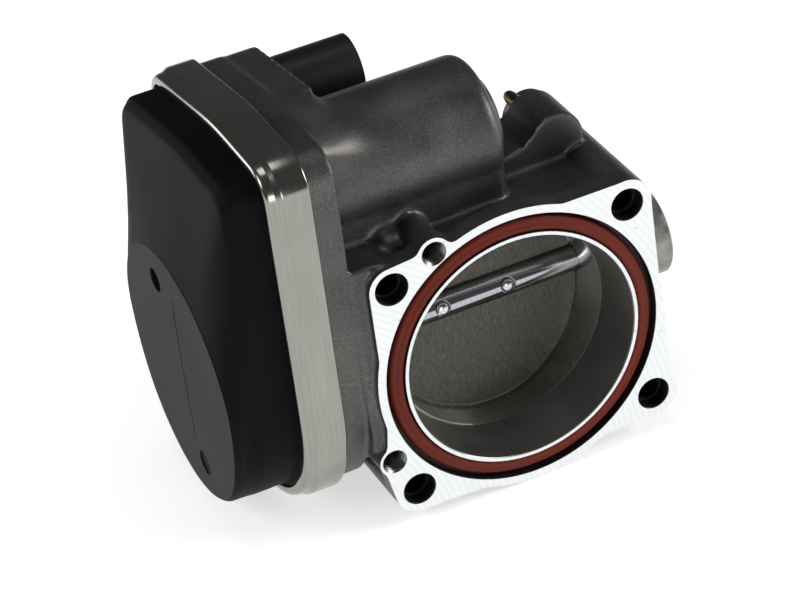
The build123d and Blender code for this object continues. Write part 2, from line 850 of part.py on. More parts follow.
with BuildPart() as contact_carrier:
    with BuildSketch(on_x(deck(6.2), *connector_axis)):
        with Locations((-1.0, 0)):
            RectangleRounded(13.5, 12, 1.5)
        with GridLocations(4.4, 4.4, 3, 2):
            Circle(0.62, mode=Mode.SUBTRACT)
    extrude(amount=4.0)
save(contact_carrier, "contact_carrier")

# two copper strips from the carrier to the motor's terminals
with BuildPart() as motor_leads:
    for z, end_y in ((78.0, 50.0), (58.6, 58.0)):
        with BuildSketch(on_x(deck(11.4))):
            with Locations(((end_y + 86.6) / 2, z)):
                Rectangle(86.6 - end_y, 2.0)
        extrude(amount=0.6)
save(motor_leads, "motor_leads")

# ---- cover gasket, black plastic cover and the pressed band that clamps them ----
with BuildPart() as cover_gasket:
    extrude(chamber_outline(rim_face - 0.03, 1.8).sketch, amount=cover_seat - rim_face + 0.06)
    extrude(chamber_outline(rim_face + 1, 4.6).sketch, amount=-4, mode=Mode.SUBTRACT)
save(cover_gasket, "cover_gasket")

with BuildPart() as gear_cover:
    extrude(chamber_outline(cover_seat, 1.2).sketch, amount=cover_step - cover_seat)
    extrude(chamber_outline(cover_step, 2.3).sketch, amount=band_end + 1.15 - cover_step)
    extrude(cover_outline(band_end + 1.15, 0, 0).sketch, amount=cover_face - band_end - 1.15)
    shoulder = cover_outline(cover_shoulder, 3.0, 1.6).sketch
    loft([cover_outline(cover_face, 0, 0).sketch, shoulder, drum_outline().sketch], ruled=True)
    fillet(gear_cover.faces().sort_by(Axis.X)[0].edges(), radius=2.0)
    cavity = chamber_outline(cover_seat + 1, wall_inset + 1.6).sketch
    extrude(cavity, amount=cover_face + cover_wall - cover_seat - 1, mode=Mode.SUBTRACT)
    with BuildSketch(on_x(-80, *cover_centre)):
        Circle(cover_radius - 1.2 - cover_wall)
    extrude(amount=drum_face + cover_wall + 80, mode=Mode.SUBTRACT)
    # four posts that carry the sensor board
    with BuildSketch(on_x(drum_face + cover_wall - 0.5, *shaft_axis)):
        with GridLocations(36, 36, 2, 2):
            Circle(3.0)
    extrude(amount=board_face - 1.65 - drum_face - cover_wall + 0.5)
save(gear_cover, "gear_cover")

with BuildPart() as retaining_band:
    extrude(chamber_outline(casting_edge, 0).sketch, amount=cover_step - 0.6 - casting_edge)
    extrude(chamber_outline(cover_step - 0.6, 1.1).sketch, amount=band_end - cover_step + 0.6)
    room = chamber_outline(rim_back + 0.05, band_thickness).sketch
    extrude(room, amount=cover_step - rim_back - 0.1, mode=Mode.SUBTRACT)
    room = chamber_outline(cover_step + 0.1, band_thickness + 1.1).sketch
    extrude(room, amount=band_end + 1.0 - cover_step, mode=Mode.SUBTRACT)
    extrude(chamber_outline(casting_edge + 1, 2.35).sketch, amount=-4, mode=Mode.SUBTRACT)
    extrude(chamber_outline(band_end + 3, 1.1 + band_lip).sketch, amount=-4, mode=Mode.SUBTRACT)
save(retaining_band, "retaining_band")

# ---- vent nipple pressed into its pad ----
with BuildPart() as vent_nipple:
    with BuildSketch(facing(pad_end - 7)):
        with Locations(nipple_place):
            Circle(nipple_radius)
    extrude(amount=-19)
    fillet(vent_nipple.faces().sort_by(Axis.Y)[-1].edges(), radius=1.4)
    with BuildSketch(facing(pad_end)):
        with Locations(nipple_place):
            Circle(0.9)
    extrude(amount=-13, mode=Mode.SUBTRACT)
save(vent_nipple, "vent_nipple")
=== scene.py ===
import math

import bmesh
import bpy
from mathutils import Matrix, Vector


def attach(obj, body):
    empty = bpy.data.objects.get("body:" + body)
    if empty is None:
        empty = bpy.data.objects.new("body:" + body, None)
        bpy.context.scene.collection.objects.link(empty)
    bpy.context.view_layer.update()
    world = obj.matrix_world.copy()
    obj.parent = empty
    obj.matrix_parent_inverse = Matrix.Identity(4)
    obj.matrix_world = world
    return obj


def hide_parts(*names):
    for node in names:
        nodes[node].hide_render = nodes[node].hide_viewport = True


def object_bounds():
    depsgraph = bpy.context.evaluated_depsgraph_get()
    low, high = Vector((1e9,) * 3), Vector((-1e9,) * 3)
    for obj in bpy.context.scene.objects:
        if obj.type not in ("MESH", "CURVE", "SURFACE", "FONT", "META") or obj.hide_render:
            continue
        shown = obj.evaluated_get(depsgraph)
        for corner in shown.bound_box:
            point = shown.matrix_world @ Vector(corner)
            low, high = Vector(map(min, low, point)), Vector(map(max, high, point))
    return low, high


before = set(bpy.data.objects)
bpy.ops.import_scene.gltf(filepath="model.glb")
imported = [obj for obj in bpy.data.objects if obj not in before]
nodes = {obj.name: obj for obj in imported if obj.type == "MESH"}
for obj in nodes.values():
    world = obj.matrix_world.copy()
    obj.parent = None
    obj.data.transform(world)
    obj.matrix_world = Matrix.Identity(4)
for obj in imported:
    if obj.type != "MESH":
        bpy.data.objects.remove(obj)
cadBox = [list(corner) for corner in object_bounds()]
mm = 0.001
print("frame loaded:", len(nodes), "nodes")


# colours are given as sRGB hex and turned to linear here
def linearColour(hexCode):
    parts = [int(hexCode[i:i + 2], 16) / 255 for i in (1, 3, 5)]
    return [p / 12.92 if p <= 0.04045 else ((p + 0.055) / 1.055) ** 2.4 for p in parts] + [1]


def addNode(tree, kind, inputs=None, stops=None, **settings):
    node = tree.nodes.new("ShaderNode" + kind)
    for key, value in settings.items():
        setattr(node, key, value)
    for key, value in (inputs or {}).items():
        if isinstance(value, bpy.types.NodeSocket):
            tree.links.new(value, node.inputs[key])
        else:
            node.inputs[key].default_value = value
    if stops:
        ramp = node.color_ramp.elements
        while len(ramp) < len(stops):
            ramp.new(0.5)
        for element, (where, colour) in zip(ramp, stops):
            element.position = where
            element.color = linearColour(colour)
    return node


def startMaterial(name, base, metallic, roughness, **more):
    made = bpy.data.materials.new(name)
    made.use_nodes = True
    shader = made.node_tree.nodes["Principled BSDF"]
    shader.inputs["Base Color"].default_value = linearColour(base)
    shader.inputs["Metallic"].default_value = metallic
    shader.inputs["Roughness"].default_value = roughness
    for key, value in more.items():
        shader.inputs[key].default_value = value
    return made, made.node_tree, shader


def spotOn(tree, scale=(1, 1, 1), turn=(0, 0, 0), shift=(0, 0, 0)):
    spot = addNode(tree, "TexCoord")
    return addNode(tree, "Mapping", {0: spot.outputs["Object"], "Scale": scale, "Rotation": turn,
                                     "Location": shift}).outputs[0]


# a mottled surface: fine grain over broad patches, in three tones of one colour
def grained(name, tones, metallic, roughness, grain, bump, depth, stretch=(1, 1, 1), patch=14,
            wear=0.08, blotch=0.25, **more):
    made, tree, shader = startMaterial(name, tones[1], metallic, roughness, **more)
    fine = addNode(tree, "TexNoise", {"Vector": spotOn(tree, stretch), "Scale": 1 / (grain * mm),
                                      "Detail": 3.0, "Roughness": 0.65})
    broad = addNode(tree, "TexNoise", {"Vector": spotOn(tree), "Scale": 1 / (patch * mm),
                                       "Detail": 3.0})
    both = addNode(tree, "Mix", {0: blotch, 2: fine.outputs[0], 3: broad.outputs[0]})
    tone = addNode(tree, "ValToRGB", {0: both.outputs[0]},
                   stops=[(0.34, tones[0]), (0.5, tones[1]), (0.66, tones[2])])
    rough = addNode(tree, "MapRange", {0: broad.outputs[0], 1: 0.3, 2: 0.7,
                                       3: roughness - wear, 4: roughness + wear})
    shade = addNode(tree, "Bump", {"Height": fine.outputs[0], "Strength": bump,
                                   "Distance": depth * mm})
    tree.links.new(tone.outputs[0], shader.inputs["Base Color"])
    tree.links.new(rough.outputs[0], shader.inputs["Roughness"])
    tree.links.new(shade.outputs[0], shader.inputs["Normal"])
    return made


# tool marks as rings or bands: milled faces, turned bores and ground shafts; the true feed is too
# fine to show, so the wave texture's repeat of 0.314 / scale draws it about three pitches wide
def machined(name, tones, roughness, pitch, bump, depth, kind="RINGS", direction="Y",
             centre=(0, 0, 0), pits=0.0, metallic=1.0, cloud=0.6, **more):
    made, tree, shader = startMaterial(name, tones[1], metallic, roughness, **more)
    away = [-c for c in centre]
    wave = addNode(tree, "TexWave", {"Vector": spotOn(tree, shift=away),
                                     "Scale": 0.1 / (pitch * mm), "Distortion": 0.6,
                                     "Detail": 2.0, "Detail Scale": 3.0},
                   wave_type=kind, **{kind.lower() + "_direction": direction})
    blotch = addNode(tree, "TexNoise", {"Vector": spotOn(tree), "Scale": 1 / (9 * mm),
                                        "Detail": 4.0})
    both = addNode(tree, "Mix", {0: cloud, 2: wave.outputs["Fac"], 3: blotch.outputs[0]})
    tone = addNode(tree, "ValToRGB", {0: both.outputs[0]},
                   stops=[(0.25, tones[0]), (0.5, tones[1]), (0.75, tones[2])])
    spots = addNode(tree, "TexVoronoi", {"Vector": spotOn(tree), "Scale": 1 / (6.5 * mm)})
    pit = addNode(tree, "MapRange", {0: spots.outputs[0], 1: 0.0, 2: 0.07, 3: 1.0, 4: 0.0})
    pitted = addNode(tree, "Math", {0: pit.outputs[0], 1: pits}, operation="MULTIPLY")
    worn = addNode(tree, "Mix", {0: pitted.outputs[0], 6: tone.outputs[0],
                                 7: linearColour("#3a3a38")}, data_type="RGBA")
    rough = addNode(tree, "MapRange", {0: blotch.outputs[0], 1: 0.3, 2: 0.7,
                                       3: roughness - 0.05, 4: roughness + 0.06})
    shade = addNode(tree, "Bump", {"Height": wave.outputs["Fac"], "Strength": bump,
                                   "Distance": depth * mm})
    tree.links.new(worn.outputs[2], shader.inputs["Base Color"])
    tree.links.new(rough.outputs[0], shader.inputs["Roughness"])
    tree.links.new(shade.outputs[0], shader.inputs["Normal"])
    return made


# die-cast aluminium, shot-blasted: a fine sandy skin that looks dull dark grey
castAluminium = grained("dieCastAluminiumBlasted", ("#3b3b3b", "#525150", "#716f6b"), 0.8, 0.43,
                        0.4, 0.36, 0.06, patch=22, wear=0.07, blotch=0.28)
# the same casting, face-milled: bright, with the cutter's wide arcs and a few pores
milledAluminium = machined("aluminiumFaceMilled", ("#dee3e4", "#e3e7e7", "#e8ecec"), 0.36, 0.7,
                           0.02, 0.01, centre=(-0.12, 0, -0.07), pits=0.8)
# the same casting, bored: fine turned rings, with darker tones that are painted shade for the dark
# hole it faces
boredAluminiumPaintedShade = machined("aluminiumBoredPaintedShade", ("#737270", "#787774", "#7d7c79"), 0.32, 0.6,
                          0.01, 0.01, kind="BANDS", direction="Y", cloud=0.9, metallic=0.75)
# the same casting, honed where the plate closes: smoother than the mouth, and its much brighter
# tones are painted reflection of light in the throat
honedAluminiumPaintedReflection = machined("aluminiumHonedPaintedReflection", ("#bdbbb5", "#c8c6c0", "#d3d1cb"), 0.22, 0.6,
                          0.01, 0.01, kind="BANDS", direction="Y", cloud=0.8, metallic=0.85)
# the same casting, skimmed round the bearing boss: light grey, with the skin's low spots left in
turnedAluminium = grained("aluminiumSkimmed", ("#6f6e6a", "#8b8a85", "#a8a7a1"), 0.75, 0.4,
                          0.5, 0.3, 0.05, patch=5, blotch=0.5)
# the same casting, drilled: rough walls, with near-black tones that are painted shade for the dark
# inside of the holes and the seal groove
drilledPaintedShadeAluminium = grained("aluminiumDrilledPaintedShade", ("#1d1c1b", "#282725", "#353331"), 0.6, 0.5,
                           0.5, 0.3, 0.05, patch=6)
# the same casting, tapped: bright flanks that catch the light one by one
tappedAluminium = grained("aluminiumTapped", ("#6a6966", "#7c7b78", "#908f8b"), 1.0, 0.3,
                          0.5, 0.1, 0.02, patch=5)
# stainless sheet, deep-drawn and polished: clear reflections with faint streaks along the strip
drawnStainless = grained("stainlessDrawnPolished", ("#8c8c85", "#93938c", "#9b9b94"), 1.0, 0.2,
                         0.5, 0.015, 0.02, stretch=(1, 0.015, 0.015), patch=26, wear=0.05)
# glass-filled nylon, moulded: near black, soft sheen, the finest grain
mouldedNylon = grained("nylonGlassFilledMoulded", ("#0a0a0c", "#0d0d10", "#111115"), 0.0, 0.56,
                       0.45, 0.1, 0.025, patch=30, wear=0.03, **{"Specular IOR Level": 0.05})
# the same nylon on the flat round face: greyer tones, a little rougher and more specular
greyFaceNylon = grained("nylonMouldedGreyFace", ("#17181b", "#1c1d20", "#222327"), 0.0, 0.6,
                      0.4, 0.2, 0.03, patch=30, wear=0.03, **{"Specular IOR Level": 0.12})
# polyamide, moulded: a deeper black than the cover, with a dull sheen
connectorBlack = grained("polyamideMouldedBlack", ("#040405", "#060607", "#09090a"), 0.0, 0.45,
                         0.5, 0.08, 0.02, patch=25, wear=0.04)
# fluoro rubber, moulded: matte oxide red
redRubber = grained("fluoroRubberMoulded", ("#551608", "#601b0c", "#6c2210"), 0.0, 0.55,
                    0.4, 0.12, 0.02, patch=10, **{"Specular IOR Level": 0.2})
# nitrile rubber, moulded: matte black
blackRubber = grained("nitrileRubberMoulded", ("#101010", "#151515", "#1c1c1c"), 0.0, 0.65,
                      0.4, 0.25, 0.04)
# shaft steel, centreless-ground: bright with hair-fine rings
groundSteel = machined("shaftSteelGround", ("#a3a6ab", "#acafb4", "#b6b9be"), 0.14, 0.6,
                       0.0, 0.01, kind="BANDS", direction="X", cloud=0.8)
# rolled sheet brass under a dull coating: straight grain up the plate
rolledSheet = grained("sheetRolledCoated", ("#45443f", "#53524c", "#64625b"), 0.9, 0.42,
                      0.4, 0.12, 0.02, stretch=(1, 1, 0.02), patch=20, wear=0.04, blotch=0.2)
# screw steel, zinc-plated: bright and slightly blue
zincSteel = grained("steelZincPlated", ("#b4b7ba", "#c8cbce", "#dcdfe2"), 1.0, 0.2,
                    0.8, 0.08, 0.02, patch=4, wear=0.05)
# pressed steel with a satin zinc coat
satinSteel = grained("steelPressedZinc", ("#7d7a74", "#918e87", "#a6a39b"), 1.0, 0.36,
                     0.6, 0.2, 0.03, patch=8)
# bearing steel, hardened and polished
bearingSteel = machined("bearingSteelPolished", ("#a4a4a4", "#b8b8b8", "#cccccc"), 0.16, 0.4,
                        0.05, 0.01, direction="X", centre=(0, 0.04, 0))
# spring wire, oil-tempered: dark blue-grey
temperedWire = grained("springWireTempered", ("#3a3c40", "#4a4c50", "#5c5e62"), 0.9, 0.34,
                       0.5, 0.1, 0.02)
# acetal, moulded: creamy and slightly waxy
mouldedAcetal = grained("acetalMoulded", ("#cdc6b2", "#d8d1be", "#e2dccb"), 0.0, 0.38,
                        0.6, 0.1, 0.03, patch=12)
# ferrite, sintered: charcoal and matte
sinteredFerrite = grained("ferriteSintered", ("#262626", "#303031", "#3c3c3d"), 0.1, 0.6,
                          0.5, 0.3, 0.05)
# bronze, sintered: open pores in a warm metal
sinteredBronze = grained("bronzeSintered", ("#8a6a38", "#a07c44", "#b59053"), 0.9, 0.4,
                         0.35, 0.3, 0.04)
# brass, drawn and gone dull
dullBrass = grained("brassDrawnDull", ("#3f331d", "#524326", "#675634"), 0.95, 0.36,
                    0.6, 0.12, 0.03, patch=6)
# stacked electrical steel: sheet edges every half millimetre along the shaft
laminations = machined("electricalSteelStacked", ("#4c4d50", "#6a6b6e", "#85868a"), 0.4, 0.5,
                       0.6, 0.08, kind="BANDS", direction="X")
# enamelled copper wire: turns laid side by side
woundCopper = machined("copperWireEnamelled", ("#6e3218", "#a4552c", "#c87848"), 0.3, 0.6,
                       0.8, 0.2, kind="BANDS", direction="Z")
# bare copper strip, rolled
bareCopper = grained("copperRolled", ("#a8623c", "#be7349", "#d08a60"), 1.0, 0.3, 0.6, 0.1, 0.02,
                     stretch=(1, 0.1, 1))
# pressed carbon
pressedCarbon = grained("carbonPressed", ("#141414", "#1c1c1d", "#29292a"), 0.2, 0.55,
                        0.4, 0.3, 0.05)
# fibreglass board under solder mask
solderMask = grained("boardSolderMask", ("#0d3a22", "#134a2c", "#1b5a38"), 0.0, 0.3,
                     0.8, 0.1, 0.02, patch=5)
# epoxy chip package, moulded
mouldedEpoxy = grained("epoxyMoulded", ("#121213", "#18181a", "#202022"), 0.0, 0.5,
                       0.3, 0.2, 0.02)
# tin-plated contact
tinPlate = grained("contactTinPlated", ("#b4b2ac", "#c6c4be", "#d6d4ce"), 1.0, 0.26,
                   0.5, 0.06, 0.01, patch=4)
print("materials made:", len(bpy.data.materials))

nodeFinish = {
    "throttle_shaft": groundSteel, "throttle_plate": rolledSheet, "motor_shaft": groundSteel,
    "drive_side_bearing_cup": bearingSteel, "drive_side_needles": bearingSteel,
    "idle_side_bearing_cup": bearingSteel, "idle_side_needles": bearingSteel,
    "drive_side_shaft_seal": blackRubber, "idle_side_shaft_seal": blackRubber,
    "throttle_gear": mouldedAcetal, "gear_driver": zincSteel, "gear_retainer": temperedWire,
    "sensor_magnet": sinteredFerrite, "return_spring": temperedWire, "idler_gear": mouldedAcetal,
    "idler_pin": groundSteel, "idler_clip": temperedWire, "motor_can": satinSteel,
    "motor_magnets": sinteredFerrite, "motor_end_plate": mouldedNylon, "motor_screws": zincSteel,
    "motor_front_bush": sinteredBronze, "motor_rear_bush": sinteredBronze,
    "armature_core": laminations, "armature_windings": woundCopper, "commutator": bareCopper,
    "motor_brushes": pressedCarbon, "motor_pinion": sinteredBronze,
    "motor_spring_washer": temperedWire, "sensor_board": solderMask, "sensor_chips": mouldedEpoxy,
    "connector_pins": tinPlate, "connector_seal": blackRubber, "contact_carrier": mouldedNylon,
    "motor_leads": bareCopper, "cover_gasket": blackRubber, "connector_shell": connectorBlack,
    "housing": castAluminium, "flange_seal": redRubber, "gear_cover": mouldedNylon,
    "retaining_band": drawnStainless, "bearing_cap": satinSteel, "vent_nipple": dullBrass,
    "plate_screws": zincSteel,
}
for name, finish in nodeFinish.items():
    nodes[name].data.materials.clear()
    nodes[name].data.materials.append(finish)

weldDistance = 0.002 * mm


# faces are smooth, and edges are sharp past an angle or where two finishes meet
def shadeEdges(bm, sharp):
    for face in bm.faces:
        face.smooth = True
    for edge in bm.edges:
        edge.smooth = (edge.is_manifold and edge.calc_face_angle(0) < math.radians(sharp)
                       and len({face.material_index for face in edge.link_faces}) == 1)


# a bmesh becomes a piece, attached to its body, and the parts it replaces are hidden
def addPiece(name, bm, finishes, body="body", replaces=(), sharp=32, merge=True):
    if merge:
        bmesh.ops.remove_doubles(bm, verts=bm.verts, dist=weldDistance)
        bmesh.ops.recalc_face_normals(bm, faces=bm.faces)
    shadeEdges(bm, sharp)
    mesh = bpy.data.meshes.new(name)
    bm.to_mesh(mesh)
    bm.free()
    for finish in finishes:
        mesh.materials.append(finish)
    piece = bpy.data.objects.new(name, mesh)
    bpy.context.scene.collection.objects.link(piece)
    if body:
        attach(piece, body)
    if replaces:
        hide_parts(*replaces)
    return piece


def finishModifiers(piece, sharp=32):
    bpy.context.view_layer.update()
    evaluated = piece.evaluated_get(bpy.context.evaluated_depsgraph_get())
    mesh = bpy.data.meshes.new_from_object(evaluated)
    piece.modifiers.clear()
    bm = bmesh.new()
    bm.from_mesh(mesh)
    shadeEdges(bm, sharp)
    bm.to_mesh(mesh)
    bm.free()
    piece.data = mesh


def meshOf(name):
    bm = bmesh.new()
    bm.from_mesh(nodes[name].data)
    bmesh.ops.remove_doubles(bm, verts=bm.verts, dist=weldDistance)
    return bm


# profile points are (along, radius) in mm; the axis runs along X or Y through centre
def turnProfile(bm, profile, axis, centre, steps=96, closed=False, finishIndex=0):
    before = set(bm.faces)
    line = [bm.verts.new((along * mm, 0, radius * mm)) for along, radius in profile]
    edges = [bm.edges.new(pair) for pair in zip(line, line[1:])]
    if closed:
        edges.append(bm.edges.new((line[-1], line[0])))
    bmesh.ops.spin(bm, geom=line + edges, cent=(0, 0, 0), axis=(1, 0, 0), angle=math.tau,
                   steps=steps, use_merge=True, use_duplicate=False)
    faces = [face for face in bm.faces if face not in before]
    verts = list({vert for face in faces for vert in face.verts})
    bmesh.ops.remove_doubles(bm, verts=verts, dist=weldDistance)
    faces = [face for face in bm.faces if face not in before]
    verts = list({vert for face in faces for vert in face.verts})
    if axis == "Y":
        bmesh.ops.rotate(bm, verts=verts, cent=(0, 0, 0),
                         matrix=Matrix.Rotation(math.pi / 2, 3, "Z"))
    bmesh.ops.translate(bm, verts=verts, vec=Vector(centre) * mm)
    bmesh.ops.recalc_face_normals(bm, faces=faces)
    for face in faces:
        face.material_index = finishIndex
    return faces


def rod(bm, axis, centre, radius, start, end, steps=64, finishIndex=0):
    return turnProfile(bm, [(start, 0), (start, radius), (end, radius), (end, 0)], axis, centre,
                       steps, finishIndex=finishIndex)


# a box that takes a face off square
def slab(bm, centre, size, finishIndex):
    bmesh.ops.create_cube(bm, size=1, matrix=Matrix.Translation([value * mm for value in centre])
                          @ Matrix.Diagonal([value * mm for value in size] + [1]))
    for face in bm.faces:
        face.material_index = finishIndex


def carve(piece, cutter, finishes):
    mesh = bpy.data.meshes.new("cutter")
    cutter.to_mesh(mesh)
    cutter.free()
    for finish in finishes:
        mesh.materials.append(finish)
    tool = bpy.data.objects.new("cutter", mesh)
    bpy.context.scene.collection.objects.link(tool)
    cut = piece.modifiers.new("cut", "BOOLEAN")
    cut.operation = "DIFFERENCE"
    cut.solver = "MANIFOLD"
    cut.object = tool
    finishModifiers(piece)
    bpy.data.objects.remove(tool)


# a closed shell is skinned over again, its corners worn round, and its faces thinned
def remould(piece, voxel, rounds, keep):
    remesh = piece.modifiers.new("remesh", "REMESH")
    remesh.mode = "VOXEL"
    remesh.voxel_size = voxel * mm
    remesh.use_smooth_shade = True
    soften = piece.modifiers.new("soften", "SMOOTH")
    soften.factor = 0.5
    soften.iterations = rounds
    thin = piece.modifiers.new("thin", "DECIMATE")
    thin.ratio = keep
    finishModifiers(piece)


# metal is added over the flat faces that lie at one level along an axis
def thickenFace(bm, axis, level, step):
    flat = [face for face in bm.faces
            if all(abs(vert.co[axis] - level * mm) < 0.01 * mm for vert in face.verts)]
    grown = bmesh.ops.extrude_face_region(bm, geom=flat)
    moved = [item for item in grown["geom"] if isinstance(item, bmesh.types.BMVert)]
    shift = Vector((0, 0, 0))
    shift[axis] = step * mm
    bmesh.ops.translate(bm, verts=moved, vec=shift)
    bmesh.ops.delete(bm, geom=flat, context="FACES_ONLY")


# the casting is moulded first, then machined; every tool starts and ends clear of the metal
casting = {
    "voxel": 0.72, "rounds": 6, "keep": 0.4, "allowance": 3.0,
    "boltAngles": [43.0, 137.0, 222.3, 321.0], "boltCircle": 58.0, "boltRadius": 4.5,
    "boltDepth": 73.0, "dowelRadius": 5.6, "dowelDepth": 5.0, "dowelChamfer": (0.35, 0.3),
    "ears": [(-26.5, 47.0), (-50.1, -25.0)], "earRadius": 3.5, "earDepth": 14.0,
    "threadRadius": 4.05, "threadPitch": 1.25, "threadStart": 1.0, "threadEnd": 1.5,
    "countersink": (0.8, 4.35), "drillPoint": 1.6, "toolStart": -2, "drillPast": 9,
    "spotFaceRadius": 10, "spotFaceDepth": 8,
    # throatReflectionStart: where the honed finish, with its painted reflection, begins in the
    # bore
    "shaftY": 40.0, "ductEnd": 92.0, "bossEnd": 69.5, "throatReflectionStart": 20.0,
    # plugs that fill the holes before the skin is moulded: radius, and where the long ones start
    "borePlug": 43.4, "shaftPlug": 7.8, "shaftPlugStart": -61.5, "capPlug": 10.8,
    "capPlugStart": 58.5, "boltPlug": 6.2, "earPlug": 4.7, "earPlugPast": 2,
    "groovePlug": {"depth": 4.4, "inner": 42, "outer": 49.7},
    # turned profiles, each a list of (along, radius)
    "bore": [(-4, 0), (-4, 41.3), (0, 41.3), (0.3, 41), (8, 41), (20, 39.3), (20, 38.9),
             (81, 38.9), (81, 42.5), (91.6, 42.5), (92, 42.9), (92, 55), (99, 55), (99, 0)],
    "groove": [(-2, 42.45), (0, 42.45), (0.2, 42.6), (3.6, 42.6), (3.6, 49.15), (0.2, 49.15),
               (0, 49.3), (-2, 49.3)],
    "bossFace": [(61, 19), (61, 15.9), (68.9, 15.9), (69.5, 15.3), (69.5, 0), (78, 0), (78, 19)],
    "shaftBore": [(-66, 0), (-66, 7.2), (-41.8, 7.2), (-41.8, 5.3), (41.8, 5.3), (41.8, 7.2),
                  (59.5, 7.2), (59.5, 10), (69.1, 10), (69.5, 10.4), (74, 10.4), (74, 0)],
    # the block's front corner runs out on the motor boss: where it starts, and how high it ends
    "runOut": (-41.8, 32.0, 92.0), "runOutNear": 1.2, "runOutTo": 86.6,
    # corners of the metal that fills the angle between the block and the motor boss
    "saddle": [(-56, 44, 92.3), (-56, 32, 92.0), (-56, 24, 90.2), (-56, 17, 85.5),
               (-45, 32, 88.8), (-44, 25, 86.0), (-37, 41, 87.4), (-33, 32, 86.1),
               (-33, 25, 82.0), (-37, 19, 75.0), (-56, 44, 70), (-37, 44, 70), (-56, 20, 70),
               (-37, 21, 70)],
    # boxes where the skin flows together: lowest corner, highest corner, rounds of smoothing
    "blends": [((-53.5, 12, 66), (-26, 47, 95), 110), ((-42, 9, 38), (-26, 30, 55), 22)],
    # metal left between the ear, the bolt boss and the motor boss: place, radius, stretch
    "lumps": [((-35.0, 17.5, 44.3), 6.4, (1, 1.25, 1))],
    "finishes": (castAluminium, milledAluminium, boredAluminiumPaintedShade, drilledPaintedShadeAluminium,
                 tappedAluminium, honedAluminiumPaintedReflection, turnedAluminium),
}
milledCut, boredShadeCut, drilledShadeCut, tappedCut, honedReflectionCut, skimmedCut = range(1, 7)
boltPlaces = [(math.cos(math.radians(angle)) * casting["boltCircle"],
               math.sin(math.radians(angle)) * casting["boltCircle"])
              for angle in casting["boltAngles"]]


def keepLargest(bm):
    left, islands = set(bm.verts), []
    while left:
        island, front = [], [left.pop()]
        while front:
            vert = front.pop()
            island.append(vert)
            for edge in vert.link_edges:
                other = edge.other_vert(vert)
                if other in left:
                    left.discard(other)
                    front.append(other)
        islands.append(island)
    islands.sort(key=len)
    print("loose bubbles dropped:", len(islands) - 1)
    for island in islands[:-1]:
        bmesh.ops.delete(bm, geom=island, context="VERTS")


# every hole is filled before the skin is moulded, and its old wall is taken out
def fillHoles(bm):
    c = casting
    extra = c["allowance"]
    shaftLine = (0, c["shaftY"], 0)
    plugs = [("Y", (0, 0, 0), c["borePlug"], -extra, c["ductEnd"] + extra),
             ("X", shaftLine, c["shaftPlug"], c["shaftPlugStart"], c["bossEnd"] + extra),
             ("X", shaftLine, c["capPlug"], c["capPlugStart"], c["bossEnd"] + extra)]
    plugs += [("Y", (x, 0, z), c["boltPlug"], -extra, c["boltDepth"] + extra)
              for x, z in boltPlaces]
    plugs += [("Y", (x, 0, z), c["earPlug"], -extra, c["earDepth"] + c["earPlugPast"])
              for x, z in c["ears"]]
    inside = set()
    for axis, centre, radius, start, end in plugs:
        along = "XYZ".index(axis)
        for face in bm.faces:
            spots = [vert.co / mm - Vector(centre) for vert in face.verts]
            sideways = [math.sqrt(max(0, spot.length_squared - spot[along] ** 2))
                        for spot in spots]
            if max(sideways) < radius - 0.1 and all(start < spot[along] < end for spot in spots):
                inside.add(face)
    bmesh.ops.delete(bm, geom=list(inside), context="FACES")
    for axis, centre, radius, start, end in plugs:
        rod(bm, axis, centre, radius, start, end)
    ring = c["groovePlug"]
    turnProfile(bm, [(-extra, ring["inner"]), (-extra, ring["outer"]),
                     (ring["depth"], ring["outer"]), (ring["depth"], ring["inner"])],
                "Y", (0, 0, 0), closed=True)


# soft lumps and fillers that a foundry pattern leaves between the bosses
def addFillers(bm):
    c = casting
    for place, radius, stretch in c["lumps"]:
        shape = Matrix.Translation(Vector(place) * mm) @ Matrix.Diagonal((*stretch, 1))
        bmesh.ops.create_icosphere(bm, subdivisions=3, radius=radius * mm, matrix=shape)
    for vert in bm.verts:
        if (vert.co - Vector(c["runOut"]) * mm).length < c["runOutNear"] * mm:
            vert.co.z = c["runOutTo"] * mm
    corners = [bm.verts.new(Vector(corner) * mm) for corner in c["saddle"]]
    hull = bmesh.ops.convex_hull(bm, input=corners)
    loose = [item for item in set(hull["geom_interior"] + hull["geom_unused"])
             if isinstance(item, bmesh.types.BMVert) and not item.link_faces]
    bmesh.ops.delete(bm, geom=loose, context="VERTS")


def blendSkin(piece):
    bm = bmesh.new()
    bm.from_mesh(piece.data)
    keepLargest(bm)
    for low, high, rounds in casting["blends"]:
        near = [vert for vert in bm.verts
                if all(low[k] * mm < vert.co[k] < high[k] * mm for k in range(3))]
        for _ in range(rounds):
            bmesh.ops.smooth_vert(bm, verts=near, factor=0.5, use_axis_x=True, use_axis_y=True,
                                  use_axis_z=True)
    bm.to_mesh(piece.data)
    bm.free()


def mouldCasting():
    c = casting
    bm = meshOf("housing")
    # the flange, the bolt bosses' backs, the duct end and the bearing boss
    for axis, level, way in ((1, 0.0, -1), (1, c["boltDepth"], 1), (1, c["ductEnd"], 1),
                             (0, c["bossEnd"], 1)):
        thickenFace(bm, axis, level, way * c["allowance"])
    fillHoles(bm)
    addFillers(bm)
    piece = addPiece("castHousing", bm, c["finishes"], replaces=["housing"],
                     merge=False)
    remould(piece, c["voxel"], c["rounds"], c["keep"])
    blendSkin(piece)
    print("casting moulded:", len(piece.data.polygons), "faces")
    return piece


def drillBolt(cutter, x, z):
    c = casting
    depth, wide = c["dowelChamfer"]
    dowel, start, end = c["dowelRadius"], c["toolStart"], c["boltDepth"] + c["drillPast"]
    # the bolt holes take the drilled finish, whose near-black tone is painted shade
    turnProfile(cutter, [(start, 0), (start, dowel + wide), (0, dowel + wide), (depth, dowel),
                         (c["dowelDepth"], dowel), (c["dowelDepth"], c["boltRadius"]),
                         (end, c["boltRadius"]), (end, 0)],
                "Y", (x, 0, z), steps=48, finishIndex=drilledShadeCut)


